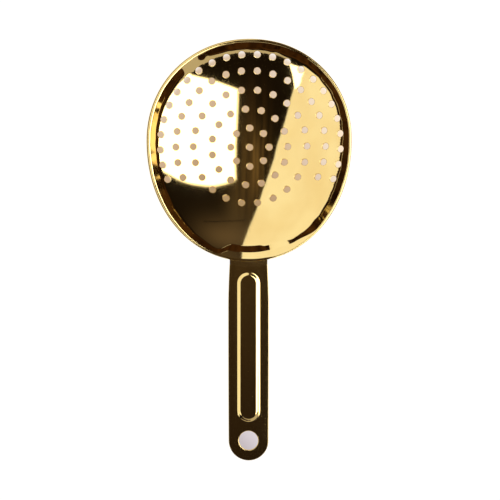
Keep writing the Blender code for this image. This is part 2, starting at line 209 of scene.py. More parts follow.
# ---- rim band -------------------------------------------------------------------
# The band's section runs: lip, flange, ramp, wall, knuckle, cap. "inward" is the
# distance in from the rim edge; a slope is positive where the face drops inwards.
# Each key below is (x across the neck, value). Away from the neck the first value
# holds for -X and the last for +X. Lengths in mm, angles in degrees.
FLANGE_END = ((-30, 0.75), (-12.5, 0.5), (-7.2, 0.6), (5.7, 0.6), (11.0, 0.3),
              (15.0, 0.3), (24.0, 0.5), (32.0, 0.75))
RAMP_ANGLE = ((-26, 22), (-7.2, 23), (5.6, 23), (10.2, 27), (14.0, 27), (28, 25))
RAMP_RUN = ((-26, 0), (-12.5, 0.0), (-7.4, 2.25), (5.6, 2.25), (10.2, 2.5), (13.0, 2.35),
            (19.0, 1.6), (27.0, 0.0), (30.0, 0.0))
BAND_END = ((-30, 4.45), (-20, 3.5), (-13, 2.7), (-7.2, 6.0), (5.0, 6.1), (10.1, 6.1),
            (12.5, 6.0), (19.0, 5.0), (24.0, 4.7), (30, 4.45))
KNUCKLE = ((-30, 5.3), (-20, 3.2), (-13, 1.6), (-7.2, 1.3), (4.6, 1.3), (7.0, 5.0),
           (10.8, 5.0), (14, 5.0), (18, 7.0), (22, 7.0), (28, 5.3))
LIP_SLOPE = ((-26, 48), (-12.5, 30), (-8.6, 28), (-7.2, 1), (7.2, 1), (8.6, 8),
             (20.0, 20), (30.0, 48))
EDGE_ROUND = ((-26, 0.40), (-8.6, 0.26), (-7.2, 0.06), (7.2, 0.06), (8.6, 0.15),
              (28.0, 0.40))

NECK_REACH_X = 30  # the keys are read at x itself up to here
FAR_X = 40.0  # place used everywhere else, which takes an end value
# change of each size away from the neck, per cosine of the direction: (-X, +X)
FLANGE_BY_SIDE = (-0.3, -0.25)
BAND_BY_SIDE = (-0.2, -0.4)
KNUCKLE_BY_SIDE = (-0.5, 2.2)
# hand finishing leaves the band a little uneven: (size, waves round the rim, phase)
UNEVEN_WAVES = ((0.40, 9, 0.7), (0.35, 17, 2.1), (0.35, 29, 0.3), (0.30, 43, 1.1), (0.22, 61, 2.6))
FLANGE_UNEVEN = 0.05
BAND_UNEVEN = 0.22
BAND_CALM = 0.6  # share of the unevenness lost towards -X
BAND_RIPPLE = (0.4, 37, 1.9)  # one more wave, for the band's end only
# the flange's outward lean in degrees: everywhere, more towards -X, more towards +Y
LEAN = 1.0
LEAN_SIDE = 6.0
LEAN_SIDE_TURN = 0.3
LEAN_TOP = 1.5
LEAN_START_X, LEAN_FADE = 12, 8  # no lean nearer the centre line, then easing in
# no knuckle more than fits between the curl and the band's end on the -X side
KNUCKLE_LIMIT_X = -12
KNUCKLE_CLEARANCE = 0.7
KNUCKLE_PER_ROOM = 2.17
WALL_SLOPES = (26.5, 54.0)  # range searched for the wall's slope, in degrees
WALL_RUN_MAX = 9.0
CAP_SLOPE_GUESS = 24.0
CAP_PROBE = 0.05
KNUCKLE_STEPS = 16


def keyed(x, keys):
    """Smooth curve through (place, value) keys."""
    places = np.array([k[0] for k in keys], float)
    values = np.array([k[1] for k in keys], float)
    i = np.clip(np.searchsorted(places, x) - 1, 0, len(places) - 2)
    share = np.clip((x - places[i]) / (places[i + 1] - places[i]), 0.0, 1.0)
    share = share * share * (3 - 2 * share)
    return values[i] + (values[i + 1] - values[i]) * share


def by_side(cosine, gains):
    return np.where(cosine < 0, gains[0] * cosine, gains[1] * cosine)


def band_sizes(angle):
    """Sizes of the band's section at each plan direction."""
    edge = outline(angle)
    cosine, sine = np.cos(angle), np.sin(angle)
    across = edge * cosine
    at_neck = (sine < 0) & (np.abs(across) <= NECK_REACH_X)
    x = np.where(at_neck, across, np.where(across < 0, -FAR_X, FAR_X))
    away = np.clip((np.abs(x) - 18) / 10, 0, 1)  # 0 near the neck, 1 away from it

    uneven = sum(size * np.sin(waves * angle + phase) for size, waves, phase in UNEVEN_WAVES)
    flange = keyed(x, FLANGE_END)
    flange = flange + (by_side(cosine, FLANGE_BY_SIDE) + FLANGE_UNEVEN * uneven) * away
    size, waves, phase = BAND_RIPPLE
    band_wave = (1 - size) * uneven + size * np.sin(waves * angle + phase)
    band_wave = BAND_UNEVEN * (1 - BAND_CALM * np.clip(-cosine, 0, 1) ** 4) * band_wave
    end = keyed(x, BAND_END) + (by_side(cosine, BAND_BY_SIDE) + band_wave) * away

    knuckle = keyed(x, KNUCKLE) + by_side(cosine, KNUCKLE_BY_SIDE) * away
    room = (end - flange - KNUCKLE_CLEARANCE) * KNUCKLE_PER_ROOM
    knuckle = np.where(x < KNUCKLE_LIMIT_X, np.minimum(knuckle, room), knuckle)

    lip = np.radians(keyed(x, LIP_SLOPE))
    lean = np.radians(
        LEAN
        + LEAN_SIDE * np.clip(-np.cos(angle + LEAN_SIDE_TURN), 0, 1) ** 3
        + LEAN_TOP * np.clip(sine, 0, 1) ** 4
    )
    lean = np.minimum(lean, lip) * np.clip((np.abs(x) - LEAN_START_X) / LEAN_FADE, 0, 1)
    return SimpleNamespace(
        edge=edge, flange=flange, end=end, knuckle=knuckle, lip=lip, lean=lean,
        ramp=np.radians(keyed(x, RAMP_ANGLE)), ramp_run=keyed(x, RAMP_RUN),
        edge_round=keyed(x, EDGE_ROUND),
    )


def bend(inward, z, radius, start, end):
    """End of an arc in the section that turns from slope start to slope end. A
    negative radius bends it back towards level."""
    return (inward + radius * (np.sin(end) - np.sin(start)),
            z - radius * (np.cos(start) - np.cos(end)))


def bend_points(inward, z, radius, start, end, shares):
    slopes = [start + (end - start) * share for share in shares]
    return [(*bend(inward, z, radius, start, slope), slope) for slope in slopes]


def straight_points(inward, z, run, slope, shares):
    return [(inward + run * s, z - run * s * np.tan(slope), slope) for s in shares]


def flange_and_lip(size):
    """Section points from the flange's inner end out to the lip's edge."""
    edge_run = size.edge_round * (1 - np.sin(size.lip))
    turn = np.maximum(np.sin(size.lip) - np.sin(size.lean), 1e-3)
    free = size.flange - CURL * np.sin(size.lean)
    lip_radius = np.minimum(CURL, np.maximum(free - edge_run, 0.02) / turn)
    straight = np.maximum(free - lip_radius * turn - edge_run, 0.0)

    points = bend_points(size.flange, 0.0, CURL, 0.0, -size.lean, np.arange(3) / 3)
    inward, z = bend(size.flange, 0.0, CURL, 0.0, -size.lean)
    points += straight_points(inward, z, -straight, -size.lean, np.arange(3) / 3)
    inward, z = inward - straight, z - straight * np.tan(size.lean)
    return points + bend_points(inward, z, lip_radius, -size.lean, -size.lip, np.arange(8) / 7)


def fit_wall(size, angle, inward, z):
    """The wall's slope and straight length, so that the knuckle ends on the cap at
    the band's end. inward and z are where the ramp ends. Returns the slope, the
    length and the cap's slope at the knuckle's end."""
    cosine, sine = np.cos(angle), np.sin(angle)
    knuckle = size.knuckle

    def ending(wall, run):
        """Height of the knuckle's end over the cap, its place and the cap's slope."""
        wall_in, wall_z = bend(inward, z, CURL, size.ramp, wall)
        cap = np.full(angle.shape, radians(CAP_SLOPE_GUESS))
        for _ in range(4):
            end_in = wall_in + run + knuckle * (np.sin(wall) - np.sin(cap))
            radius = size.edge - end_in
            near, far = radius - CAP_PROBE, radius + CAP_PROBE
            near_z = cap_z(near * cosine, near * sine)
            far_z = cap_z(far * cosine, far * sine)
            cap = np.arctan((far_z - near_z) / (2 * CAP_PROBE))
        end_z = wall_z - run * np.tan(wall) - knuckle * (np.cos(cap) - np.cos(wall))
        return end_z - (near_z + far_z) / 2, end_in, cap

    flat, steep = (np.full(angle.shape, radians(slope)) for slope in WALL_SLOPES)
    for _ in range(16):
        wall = (flat + steep) / 2
        low, high = np.zeros(angle.shape), np.full(angle.shape, WALL_RUN_MAX)
        for _ in range(20):
            run = (low + high) / 2
            above = ending(wall, run)[0] > 0
            low, high = np.where(above, run, low), np.where(above, high, run)
        run = (low + high) / 2
        late = ending(wall, run)[1] > size.end
        flat, steep = np.where(late, wall, flat), np.where(late, steep, wall)
    return wall, run, ending(wall, run)[2]


def rim_band(angle):
    """Front section of the outer band at each angle. Returns inward, z and slope,
    each as (angles, samples), from the lip's edge to the cap, then the sizes, then
    the knuckle: rim edge, its start's inward and z, wall slope, radius, cap slope."""
    size = band_sizes(angle)
    fifths = np.arange(1, 6) / 5
    points = flange_and_lip(size)[::-1]

    points += bend_points(size.flange, 0.0, CURL, 0.0, size.ramp, fifths)
    inward, z = bend(size.flange, 0.0, CURL, 0.0, size.ramp)
    points += straight_points(inward, z, size.ramp_run, size.ramp, fifths)
    inward, z = inward + size.ramp_run, z - size.ramp_run * np.tan(size.ramp)

    wall, run, cap = fit_wall(size, angle, inward, z)
    points += bend_points(inward, z, CURL, size.ramp, wall, np.arange(1, 9) / 8)
    inward, z = bend(inward, z, CURL, size.ramp, wall)
    points += straight_points(inward, z, run, wall, fifths)
    inward, z = inward + run, z - run * np.tan(wall)

    shares = np.arange(1, KNUCKLE_STEPS + 1) / KNUCKLE_STEPS
    points += bend_points(inward, z, -size.knuckle, wall, cap, shares)
    section = [np.stack(values, 1) for values in zip(*points)]
    return (*section, size, (size.edge, inward, z, wall, size.knuckle, cap))


KNUCKLE_ANGLE = TABLE_ANGLE[::4]
KNUCKLE_TABLE = rim_band(KNUCKLE_ANGLE)[-1]


def front_z(x, y):
    """Front face of the cap and of the knuckle round it."""
    angle = np.arctan2(y, x)
    edge, start_in, start_z, wall, radius, cap = (
        np.interp(angle, KNUCKLE_ANGLE, values) for values in KNUCKLE_TABLE
    )
    inward = edge - np.hypot(x, y)
    slope_sine = np.sin(wall) - (inward - start_in) / radius
    slope = np.arcsin(np.clip(slope_sine, -1.0, 0.97))
    arc = start_z - radius * (np.cos(slope) - np.cos(wall))
    return np.where(slope_sine > np.sin(cap), arc, cap_z(x, y))


# ---- mesh helpers -----------------------------------------------------------------
class Shell:
    """Gathers vertices, their normals and faces, in millimetres."""

    def __init__(self):
        self.points, self.normals, self.faces = [], [], []
        self.count = 0

    def add(self, points, normals):
        points = np.asarray(points, float).reshape(-1, 3)
        normals = np.asarray(normals, float).reshape(-1, 3)
        first = self.count
        self.points.append(points)
        self.normals.append(normals)
        self.count += len(points)
        return np.arange(first, self.count)

    def add_rows(self, rows):
        return [self.add(points, normals) for points, normals in rows]

    def skin(self, rows, closed=False):
        """Quads between each row of vertex numbers and the next."""
        for this, following in zip(rows, rows[1:]):
            count = len(this)
            for i in range(count if closed else count - 1):
                j = (i + 1) % count
                self.faces.append((this[i], this[j], following[j], following[i]))

    def build(self, name, material):
        points = np.concatenate(self.points) * MM + np.array(ORIGIN)
        normals = np.concatenate(self.normals)
        normals /= np.maximum(np.linalg.norm(normals, axis=1, keepdims=True), 1e-9)
        mesh = bpy.data.meshes.new(name)
        mesh.from_pydata(points.tolist(), [], [tuple(int(i) for i in f) for f in self.faces])
        mesh.update()
        bm = bmesh.new()
        bm.from_mesh(mesh)
        bmesh.ops.recalc_face_normals(bm, faces=bm.faces)
        if bm.calc_volume(signed=True) < 0:
            bmesh.ops.reverse_faces(bm, faces=bm.faces)
        bm.to_mesh(mesh)
        bm.free()
        mesh.shade_smooth()
        mesh.normals_split_custom_set_from_vertices([tuple(normal) for normal in normals])
        ob = bpy.data.objects.new(name, mesh)
        bpy.context.scene.collection.objects.link(ob)
        mesh.materials.append(material)
        return ob


def register(ob, cad_piece):
    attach(ob, "root")
    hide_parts(cad_piece)


def quarter(steps, first=0):
    """Angles of a quarter turn in even steps, from the given step on."""
    return [pi / 2 * i / steps for i in range(first, steps + 1)]


def rounded_edge(rim, out, up, sheet, rounds, front, back):
    """Rows of (points, normals) over a sheet's edge, from the front face to the back.
    rim is the front corner before rounding, out points off the sheet, rounds are the
    front and back radii, front and back are angles from the face to the edge."""
    front_round, back_round = rounds
    rows = []
    for angle in front:
        points = rim - out * front_round * (1 - sin(angle)) - up * front_round * (1 - cos(angle))
        rows.append((points, out * sin(angle) + up * cos(angle)))
    for angle in reversed(back):
        depth = sheet - back_round * (1 - cos(angle))
        points = rim - out * back_round * (1 - sin(angle)) - up * depth
        rows.append((points, out * sin(angle) - up * cos(angle)))
    return rows


def circle(count):
    angle = np.arange(count) * 2 * pi / count
    return np.cos(angle), np.sin(angle)


def hex_points(x_range, y_range, pitch):
    (x_start, x_end), (y_start, y_end) = x_range, y_range
    points = []
    row = pitch * sqrt(3) / 2
    for j in range(int(ceil((y_end - y_start) / row)) + 1):
        shift = pitch / 2 if j % 2 else 0.0
        for i in range(int(ceil((x_end - x_start) / pitch)) + 1):
            points.append((x_start + shift + i * pitch, y_start + j * row))
    return np.array(points)


def number_runs(groups):
    """Point numbers of each group when the groups are put end to end."""
    runs, start = [], 0
    for group in groups:
        runs.append(list(range(start, start + len(group))))
        start += len(group)
    return runs


def triangulate(points, loops, skip):
    """Constrained Delaunay triangles of plan points. loops are closed runs of point
    numbers. A triangle whose three corners share a skip number isn't kept (-1 is none)."""
    edges = []
    for loop in loops:
        for i in range(len(loop)):
            edges.append((int(loop[i]), int(loop[(i + 1) % len(loop)])))
    flat = [Vector((float(p[0]), float(p[1]))) for p in points]
    result = delaunay_2d_cdt(flat, edges, [], 0, 1e-6)
    origin = [sources[0] if sources else -1 for sources in result[3]]
    if len(origin) != len(points) or min(origin) < 0:
        raise RuntimeError("plan points merged or crossed: %d from %d" % (len(origin), len(points)))
    triangles = []
    for face in result[2]:
        corners = tuple(origin[i] for i in face)
        groups = {int(skip[i]) for i in corners}
        if len(groups) > 1 or -1 in groups:
            triangles.append(corners)
    return triangles


# ---- bowl ---------------------------------------------------------------------------
BOWL_COLUMNS = 540
NECK_DENSITY = 1.9  # extra columns at the neck
NECK_DISTANCE = 44  # origin to neck edge, about
NECK_ZONE = 22.0  # half width of the denser part
PLATE_PITCH = 1.15
GRID_X = (-38.0, 38.0)
GRID_Y = (-45.0, 41.0)
GRID_MARGIN = 2.3
GRID_HOLE_GAP = 0.45
# rows of plate points inside the band, by distance in from it
BAND_ROWS = (0.09, 0.2, 0.33, 0.47, 0.62, 0.8, 1.0, 1.25, 1.55, 1.9)
FULL_BAND_ROWS = 6  # the rows after these keep every other point
BAND_HOLE_GAP = 0.1


def bowl_angles():
    """Plan directions: evenly spaced, and closer together at the neck."""
    angle = np.linspace(-pi, pi, 20001)
    nearness = np.exp(-((np.cos(angle) * NECK_DISTANCE / NECK_ZONE) ** 4))
    density = 1.0 + NECK_DENSITY * np.where(np.sin(angle) < 0, nearness, 0.0)
    total = np.concatenate([[0], np.cumsum((density[1:] + density[:-1]) / 2)])
    total /= total[-1]
    return np.interp(np.arange(BOWL_COLUMNS) / BOWL_COLUMNS, total, angle)


def add_band(shell, angle):
    """Outer band with its rounded sheet edge. Returns the inner row: its distance in
    from the rim, its points, and its front and back vertex numbers."""
    inward, z, slope, size, _ = rim_band(angle)
    radial = np.stack([np.cos(angle), np.sin(angle), np.zeros(len(angle))], 1)
    wrapped = np.concatenate([angle[-1:] - 2 * pi, angle, angle[:1] + 2 * pi])
    rows = []
    # the plate of triangles takes over where the knuckle starts
    count = inward.shape[1] - KNUCKLE_STEPS
    for k in range(count):
        points = radial * (size.edge - inward[:, k])[:, None] + UP * z[:, k][:, None]
        ring = np.concatenate([points[-1:], points, points[:1]])
        along = (ring[2:] - ring[:-2]) / (wrapped[2:] - wrapped[:-2])[:, None]
        down_face = -radial * np.cos(slope[:, k])[:, None] - UP * np.sin(slope[:, k])[:, None]
        normal = np.cross(down_face, along)
        normal *= np.sign(normal[:, 2])[:, None]
        normal /= np.linalg.norm(normal, axis=1, keepdims=True)
        rows.append((points, normal))

    front_ids = shell.add_rows(rows)
    back_ids = shell.add_rows([(points - normal * SHEET, -normal) for points, normal in rows])
    points, normal = rows[0]
    out = np.cross(normal, np.cross(radial, normal))
    out = out / np.linalg.norm(out, axis=1, keepdims=True)
    edge_round = size.edge_round[:, None]
    edge_ids = shell.add_rows(rounded_edge(
        points + out * edge_round, out, normal, SHEET, (edge_round, edge_round),
        front=quarter(5, 1), back=quarter(5, 1),
    ))
    shell.skin(front_ids[::-1] + edge_ids + back_ids, closed=True)
    return inward[:, count - 1], rows[-1][0], front_ids[-1], back_ids[-1]


def hole_frames(centres):
    """For each hole: centre on the front face, normal, spokes round it, and the
    height of the face over the hole's own plane at each spoke."""
    frames = []
    x, y = centres[:, 0], centres[:, 1]
    middles = np.column_stack([centres, front_z(x, y)])
    cosine, sine = circle(HOLE_POINTS)
    for centre, normal in zip(middles, surface_normal(cap_z, x, y, probe=0.05)):
        side = np.cross([0.0, 1.0, 0.0], normal)
        side /= np.linalg.norm(side)
        spoke = np.outer(cosine, side) + np.outer(sine, np.cross(normal, side))
        lift = np.zeros(HOLE_POINTS)
        for _ in range(14):
            ring = centre + spoke * HOLE_OUTER + normal * lift[:, None]
            lift += (front_z(ring[:, 0], ring[:, 1]) - ring[:, 2]) * 0.8
        frames.append((centre, normal, spoke, lift))
    return frames


def clear_of_holes(points, centres, gap):
    clear = np.ones(len(points), bool)
    for x, y in centres:
        clear &= np.hypot(points[:, 0] - x, points[:, 1] - y) > HOLE_OUTER + gap
    return points[clear]


def plate_points(angle, inner_in, centres):
    """Free points of the plate: a hexagonal grid, and rows close to the band."""
    grid = hex_points(GRID_X, GRID_Y, PLATE_PITCH)
    grid = clear_of_holes(grid, centres, GRID_HOLE_GAP)
    direction = np.arctan2(grid[:, 1], grid[:, 0])
    reach = np.interp(direction, angle, outline(angle) - inner_in, period=2 * pi)
    grid = grid[np.hypot(grid[:, 0], grid[:, 1]) < reach - GRID_MARGIN]

    count = len(angle)
    closed_angle = np.append(angle, angle[0] + 2 * pi)
    closed_in = np.append(inner_in, inner_in[0])
    between = np.interp(np.arange(count) + 0.5, np.arange(count + 1), closed_angle)
    rows = []
    for k, step in enumerate(BAND_ROWS):
        turn = between if k % 2 == 0 else angle
        inward = np.interp(turn, closed_angle, closed_in) + step
        radius = outline((turn + pi) % (2 * pi) - pi) - inward
        row = np.column_stack([radius * np.cos(turn), radius * np.sin(turn)])
        rows.append(row if k < FULL_BAND_ROWS else row[::2])
    near_band = clear_of_holes(np.concatenate(rows), centres, BAND_HOLE_GAP)
    plan = np.concatenate([grid, near_band])
    return np.column_stack([plan, front_z(plan[:, 0], plan[:, 1])])


def build_bowl(material):
    shell = Shell()
    angle = bowl_angles()
    inner_in, boundary, front_edge, back_edge = add_band(shell, angle)

    centres = hole_centres()
    frames = hole_frames(centres)
    rings = [centre + spoke * HOLE_OUTER + normal * lift[:, None]
             for centre, normal, spoke, lift in frames]
    loops = number_runs([boundary, *rings])
    plan = np.concatenate([boundary, *rings, plate_points(angle, inner_in, centres)])
    skip = np.full(len(plan), -1)
    skip[loops[0]] = -2
    for k, loop in enumerate(loops[1:]):
        skip[loop] = k
    triangles = triangulate(plan, loops, skip)

    normals = surface_normal(front_z, plan[:, 0], plan[:, 1], probe=0.02)
    inside = slice(len(boundary), None)
    new_front = shell.add(plan[inside], normals[inside])
    new_back = shell.add(plan[inside] - normals[inside] * SHEET, -normals[inside])
    front_ids = np.concatenate([front_edge, new_front])
    back_ids = np.concatenate([back_edge, new_back])
    for i, j, k in triangles:
        shell.faces.append((front_ids[i], front_ids[j], front_ids[k]))
        shell.faces.append((back_ids[i], back_ids[k], back_ids[j]))

    for loop, (centre, normal, spoke, lift) in zip(loops[1:], frames):
        rim = centre + spoke * HOLE_RADIUS + normal * lift[:, None]
        rows = rounded_edge(rim, -spoke, normal, SHEET, (HOLE_ROUND, HOLE_BACK_ROUND),
                            front=quarter(4, 1), back=quarter(3))
        chain = [front_ids[loop], *shell.add_rows(rows), back_ids[loop]]
        shell.skin(chain, closed=True)
    register(shell.build("bowl", material), "strainer_bowl")


# ---- handle strap ---------------------------------------------------------------------
STRAP_SIDE_ROWS = 90
STRAP_END_STEPS = 48
STRAP_GRID_PITCH = 1.3
STRAP_GRID_X = (-7.6, 7.6)
EDGE_GAP = 0.5  # free points stay this far from outline and hanging hole
BEAD_GAP = 0.4  # and this far from the bead's flank
BEAD_RINGS = 10
BEAD_SPACING = 0.7
# the step back behind the filler, as distances inwards from the rim edge
STEP_START = -BRAZE_END - 0.06
STEP_END = -0.55
STEP_COUNT = 12
STATION_GAP = 0.12  # least distance between tongue stations
TONGUE_LAST_SLOPE = 40.0
TONGUE_TAIL = 0.7  # straight run at the tip


def strap_half_width(y):
    neck = float(neck_edge_y(0.0))
    if y > STRAP_MID_Y:
        share = min(max((neck - y) / (neck - STRAP_MID_Y), 0.0), 1.0)
        swell = sin(share * pi / 2)
        width = STRAP_NECK_WIDTH + (STRAP_MID_WIDTH - STRAP_NECK_WIDTH) * swell
    else:
        share = min(max((STRAP_MID_Y - y) / (STRAP_MID_Y - HANG_HOLE_Y), 0.0), 1.0)
        width = STRAP_MID_WIDTH + (STRAP_END_WIDTH - STRAP_MID_WIDTH) * share * share
    return width / 2


def neck_row(inset, inward):
    """Plan points across the neck from -X to +X, parallel to the rim edge."""
    half = NECK_HALF - inset
    xs = np.array([-half + 2 * half * i / NECK_COLUMNS for i in range(NECK_COLUMNS + 1)])
    return np.column_stack([xs, neck_edge_y(xs) + inward])


def bead_offset(x, y):
    """Offset in y and distance from the bead's middle line."""
    offset_y = y - np.clip(y, BEAD_LOW_Y, BEAD_HIGH_Y)
    return offset_y, np.hypot(x, offset_y)


def bead_height(x, y):
    """Height of the bead and its gradient."""
    offset_y, distance = bead_offset(x, y)
    share = np.clip((BEAD_HALF - distance) / BEAD_FLANK, 0.0, 1.0)
    height = BEAD_HEIGHT * share * share * (3 - 2 * share)
    on_flank = (share > 0) & (share < 1)
    slope = np.where(on_flank, BEAD_HEIGHT * 6 * share * (1 - share) / BEAD_FLANK, 0.0)
    safe = np.maximum(distance, 1e-9)
    return height, -slope * x / safe, -slope * offset_y / safe


def bead_ring(inset):
    """Round-ended loop inside the bead's outline."""
    half = BEAD_HALF - inset
    low, high = BEAD_LOW_Y, BEAD_HIGH_Y
    arc = max(10, int(round(pi * half / BEAD_SPACING)))
    line = max(10, int(round((high - low) / BEAD_SPACING)))
    points = []
    for first, arc_y, side, start, end in ((0, high, -half, high, low), (pi, low, half, low, high)):
        for i in range(arc):
            turn = first + pi * i / arc
            points.append((half * cos(turn), arc_y + half * sin(turn)))
        for i in range(line):
            points.append((side, start + (end - start) * i / line))
    return np.array(points)


def strap_rows(y_top):
    """Rows over the strap's edge. The outline runs from the top +X corner, round the
    end, to the top -X corner."""
    side = []
    for i in range(STRAP_SIDE_ROWS):
        y = y_top + (HANG_HOLE_Y - y_top) * i / STRAP_SIDE_ROWS
        side.append((strap_half_width(y), y))
    radius = STRAP_END_WIDTH / 2
    end = []
    for i in range(STRAP_END_STEPS + 1):
        turn = pi * i / STRAP_END_STEPS
        end.append((radius * cos(turn), HANG_HOLE_Y - radius * sin(turn)))
    line = np.array(side + end + [(-x, y) for x, y in reversed(side)])
    tangent = np.gradient(line, axis=0)
    tangent[0] = (0, -1)
    tangent[-1] = (0, 1)
    tangent /= np.linalg.norm(tangent, axis=1, keepdims=True)
    outward = np.column_stack([-tangent[:, 1], tangent[:, 0], np.zeros(len(line))])
    rim = np.column_stack([line, np.zeros(len(line))])
    return rounded_edge(rim, outward, UP, STRAP_SHEET, (STRAP_ROUND, STRAP_BACK_ROUND),
                        front=quarter(5), back=quarter(3))


def strap_grid(y_top, inset):
    """Free points of the strap's face, clear of outline, hole and bead flank."""
    grid = hex_points(STRAP_GRID_X, (STRAP_END_Y, y_top + 1.0), STRAP_GRID_PITCH)
    x, y = grid[:, 0], grid[:, 1]
    half_width = np.array([strap_half_width(place) for place in y])
    from_hole = np.hypot(x, y - HANG_HOLE_Y)
    keep = np.abs(x) < half_width - inset - EDGE_GAP
    keep &= y < neck_edge_y(x) - BRAZE_END - EDGE_GAP
    keep &= (y > HANG_HOLE_Y) | (from_hole < STRAP_END_WIDTH / 2 - inset - EDGE_GAP)
    keep &= from_hole > HANG_HOLE_RADIUS + HANG_HOLE_ROUND + EDGE_GAP
    distance = bead_offset(x, y)[1]
    keep &= (distance > BEAD_HALF + BEAD_GAP) | (distance < BEAD_HALF - BEAD_FLANK - BEAD_GAP)
    return grid[keep]


def add_face(shell, rim, rim_ids, y_top, inset, front):
    """One face of the strap. Returns the vertex numbers of its top line, from -X to
    +X, and of its hanging hole."""
    # the rim ends at the -X corner, where the top line starts
    top = neck_row(inset, -BRAZE_END)[1:-1]
    cosine, sine = circle(HANG_HOLE_POINTS)
    hole_outer = HANG_HOLE_RADIUS + HANG_HOLE_ROUND
    hole = np.column_stack([hole_outer * cosine, HANG_HOLE_Y + hole_outer * sine])
    bead = [bead_ring(BEAD_FLANK * i / BEAD_RINGS) for i in range(BEAD_RINGS + 1)]
    groups = [np.concatenate([rim[:, :2], top]), hole, *bead]
    loops = number_runs(groups)
    plan = np.concatenate([*groups, strap_grid(y_top, inset)])
    skip = np.full(len(plan), -1)
    skip[loops[1]] = 0
    # triangles between the hollow top line and its chord are dropped
    rim_count = len(rim)
    top_numbers = {0, *range(rim_count - 1, rim_count + len(top))}
    triangles = [t for t in triangulate(plan, loops, skip) if not top_numbers.issuperset(t)]

    height, slope_x, slope_y = bead_height(plan[:, 0], plan[:, 1])
    # bead_height gives the gradient as the face falls away outwards
    normals = np.column_stack([-slope_x, -slope_y, np.ones(len(plan))])
    normals /= np.linalg.norm(normals, axis=1, keepdims=True)
    points = np.column_stack([plan, height if front else height - STRAP_SHEET])
    if not front:
        normals = -normals
    new_ids = shell.add(points[rim_count:], normals[rim_count:])
    ids = np.concatenate([rim_ids, new_ids])
    for triangle in triangles:
        shell.faces.append(tuple(ids[i] for i in (triangle if front else triangle[::-1])))
    top_ids = ids[[*range(rim_count - 1, rim_count + len(top)), 0]]
    return top_ids, ids[loops[1]]


def add_hanging_hole(shell, front_ids, back_ids):
    spoke = np.column_stack([*circle(HANG_HOLE_POINTS), np.zeros(HANG_HOLE_POINTS)])
    rim = np.array([0.0, HANG_HOLE_Y, 0.0]) + spoke * HANG_HOLE_RADIUS
    rows = rounded_edge(rim, -spoke, UP, STRAP_SHEET, (HANG_HOLE_ROUND, HANG_HOLE_ROUND),
                        front=quarter(5, 1), back=quarter(3, 1))
    shell.skin([front_ids, *shell.add_rows(rows), back_ids], closed=True)


def tongue_step():
    """Stations (inward, z, slope) of the tongue's middle line where it steps back
    under the filler."""
    half = STRAP_SHEET / 2
    drop = -half + (SHEET + TONGUE_GAP + half)
    length = STEP_END - STEP_START
    stations = []
    for i in range(1, STEP_COUNT + 1):
        share = i / STEP_COUNT
        ease = share * share * (3 - 2 * share)
        ease_slope = 6 * share * (1 - share)
        stations.append((STEP_START + length * share, -half - drop * ease,
                         np.arctan(drop * ease_slope / length)))
    return stations


def tongue_path():
    """All stations of the tongue: the step back, then a gap behind the band's
    section at the middle of the neck, then a straight tip."""
    stations = tongue_step()
    inward, z, slope = (values[0] for values in rim_band(np.array([-pi / 2]))[:3])
    behind = SHEET + TONGUE_GAP + STRAP_SHEET / 2
    back_in = inward - behind * np.sin(slope)
    back_z = z - behind * np.cos(slope)
    last_in = STEP_END
    for k in range(len(inward)):
        if slope[k] < -0.001 or back_in[k] <= last_in + STATION_GAP:
            continue
        if slope[k] > radians(TONGUE_LAST_SLOPE):
            break
        stations.append((back_in[k], back_z[k], slope[k]))
        last_in = back_in[k]
    end_in, end_z, end_slope = stations[-1]
    stations.append((end_in + TONGUE_TAIL * cos(end_slope),
                     end_z - TONGUE_TAIL * sin(end_slope), end_slope))
    return stations


def add_tongue(shell, loop):
    """Continues the strap's top section, given as a closed loop of vertex numbers,
    behind the bowl."""
    half = STRAP_SHEET / 2
    mirror = np.array([-1, 1, 1])
    for inward, z, slope in tongue_path():
        normal = np.array([0.0, sin(slope), cos(slope)])

        def row(inset, lift):
            plan = neck_row(inset, inward)
            return np.column_stack([plan, np.full(len(plan), z)]) + normal * lift

        front = row(STRAP_ROUND, half)
        back = row(STRAP_BACK_ROUND, -half)
        corner = np.array([NECK_HALF, float(neck_edge_y(NECK_HALF)) + inward, z])
        side = rounded_edge(corner + normal * half, ACROSS, normal, STRAP_SHEET,
                            (STRAP_ROUND, STRAP_BACK_ROUND),
                            front=quarter(5, 1), back=quarter(3, 1))
        right, right_normals = (np.array(values) for values in zip(*side))
        points = np.concatenate([front, right, back[::-1], (right * mirror)[::-1]])
        normals = np.concatenate([
            np.tile(normal, (len(front), 1)), right_normals,
            np.tile(-normal, (len(back), 1)), (right_normals * mirror)[::-1],
        ])
        ids = shell.add(points, normals)
        shell.skin([loop, ids], closed=True)
        loop = ids

    # close the tip: quads between front and back rows, one face at each side
    columns, corners = len(front), len(right)
    cuts = np.cumsum([columns, corners, columns])
    front_ids, right_ids, back_ids, left_ids = np.split(loop, cuts)
    back_ids = back_ids[::-1]
    shell.skin([front_ids, back_ids])
    shell.faces.append((front_ids[-1], *right_ids, back_ids[-1]))
    shell.faces.append((front_ids[0], back_ids[0], *left_ids))


def build_strap(material):
    shell = Shell()
    y_top = float(neck_edge_y(NECK_HALF)) - BRAZE_END
    rows = strap_rows(y_top)
    row_ids = shell.add_rows(rows)
    shell.skin(row_ids)
    top_front, hole_front = add_face(shell, rows[0][0], row_ids[0], y_top, STRAP_ROUND, front=True)
    top_back, hole_back = add_face(
        shell, rows[-1][0], row_ids[-1], y_top, STRAP_BACK_ROUND, front=False)
    add_hanging_hole(shell, hole_front, hole_back)
    between = row_ids[1:-1]
    add_tongue(shell, np.concatenate([
        top_front, [row[0] for row in between], top_back[::-1], [row[-1] for row in between[::-1]],
    ]))
    register(shell.build("handle", material), "handle_strap")


